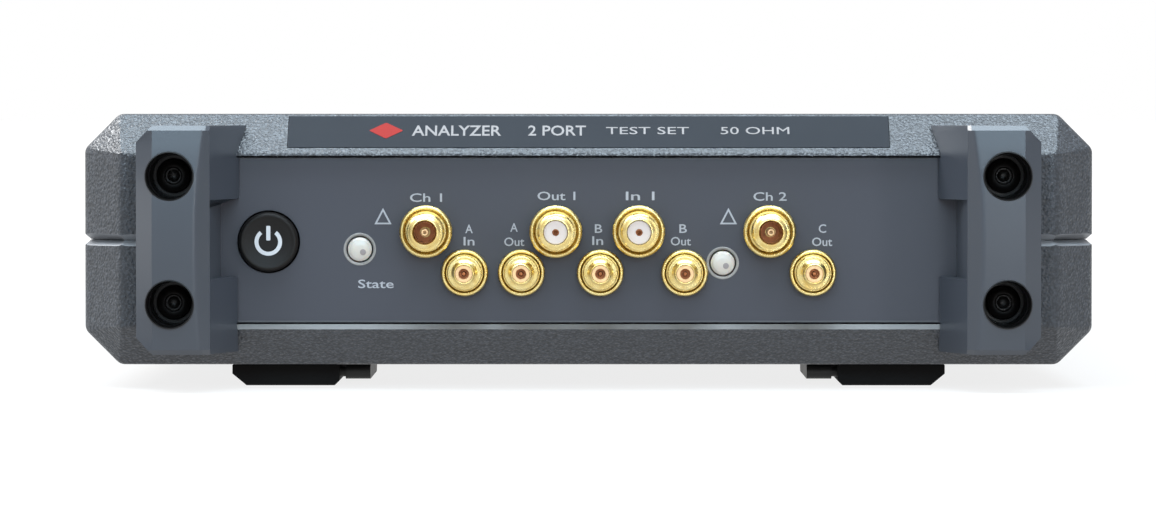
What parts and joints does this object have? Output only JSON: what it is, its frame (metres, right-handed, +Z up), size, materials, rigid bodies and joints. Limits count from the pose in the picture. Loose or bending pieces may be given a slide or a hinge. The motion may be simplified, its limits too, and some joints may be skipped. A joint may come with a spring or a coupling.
{
  "type": "vector network analyzer",
  "caption": "Compact desktop vector network analyzer: grooved two-part case, recessed connector panel, corner bumpers, feet with fold-out tilt legs.",
  "frame": {"origin": "on the table, under the middle of the instrument's box", "axes": "+X to the right seen from the front, +Y from the front panel to the rear panel, +Z up"},
  "size_m": [0.177, 0.331, 0.0479],
  "materials": {
    "cover": "grey-blue textured powder coat",
    "panel": "smooth matte slate",
    "label": "smooth matte film",
    "bumper": "satin moulded",
    "foot": "matte black",
    "black_plastic": "satin black",
    "black_steel": "black oxide",
    "steel": "satin",
    "gold": "polished gold plate",
    "light": "clear white diffuser",
    "board": "solder mask",
    "aluminium": "bead blasted",
    "copper": "drawn copper tube"
  },
  "bodies": {
    "chassis": {"top_cover": "cover", "bottom_cover": "cover", "front_panel": "panel", "rear_panel": "panel", "header_label": "label", "front_bumper_left": "bumper", "front_bumper_right": "bumper", "rear_bumper_left": "bumper", "rear_bumper_right": "bumper", "front_bumper_screw_left_upper": "black_steel", "front_bumper_screw_left_lower": "black_steel", "front_bumper_screw_right_upper": "black_steel", "front_bumper_screw_right_lower": "black_steel", "rear_bumper_screw_left_upper": "black_steel", "rear_bumper_screw_left_lower": "black_steel", "rear_bumper_screw_right_upper": "black_steel", "rear_bumper_screw_right_lower": "black_steel", "front_foot_left": "foot", "front_foot_right": "foot", "rear_foot_left": "foot", "rear_foot_right": "foot", "cover_screw_front_left": "steel", "cover_screw_front_right": "steel", "cover_screw_rear_left": "steel", "cover_screw_rear_right": "steel", "power_switch": "black_plastic", "status_light_pipe": "light", "ready_light_pipe": "light", "port_1_connector": "gold", "port_2_connector": "gold", "source_out_jack": "gold", "receiver_in_jack": "gold", "reference_in_jack": "gold", "reference_out_jack": "gold", "trigger_in_jack": "gold", "trigger_out_jack": "gold", "trigger_ready_jack": "gold", "chassis_tray": "steel", "main_board": "board", "port_1_shield": "aluminium", "source_shield": "aluminium", "port_2_shield": "aluminium", "heat_sink": "aluminium", "fan_frame_1": "black_plastic", "fan_frame_2": "black_plastic", "usb_c_receptacle": "steel", "dc_power_jack": "black_plastic", "ground_terminal": "steel", "port_1_cable": "copper", "port_2_cable": "copper"},
    "power_button": {"power_button": "black_plastic"},
    "tilt_leg_left": {"tilt_leg_left": "black_plastic"},
    "tilt_leg_right": {"tilt_leg_right": "black_plastic"},
    "fan_impeller_1": {"fan_impeller_1": "black_plastic"},
    "fan_impeller_2": {"fan_impeller_2": "black_plastic"}
  },
  "joints": [
    {"name": "power_button_press", "type": "slide", "parent": "chassis", "child": "power_button", "axis": [0, 1, 0], "range_m": [0, 0.001], "stiffness_N_per_m": 1200},
    {"name": "tilt_leg_left_fold", "type": "hinge", "parent": "chassis", "child": "tilt_leg_left", "pos_m": [-0.0408, -0.133, 0.0023], "axis": [-1, 0, 0], "range_deg": [0, 105]},
    {"name": "tilt_leg_right_fold", "type": "hinge", "parent": "chassis", "child": "tilt_leg_right", "pos_m": [0.0408, -0.133, 0.0023], "axis": [-1, 0, 0], "range_deg": [0, 105]},
    {"name": "fan_spin_1", "type": "hinge", "parent": "chassis", "child": "fan_impeller_1", "pos_m": [-0.045, 0.14, 0.0259], "axis": [0, 1, 0], "continuous": true},
    {"name": "fan_spin_2", "type": "hinge", "parent": "chassis", "child": "fan_impeller_2", "pos_m": [-0.015, 0.14, 0.0259], "axis": [0, 1, 0], "continuous": true}
  ]
}
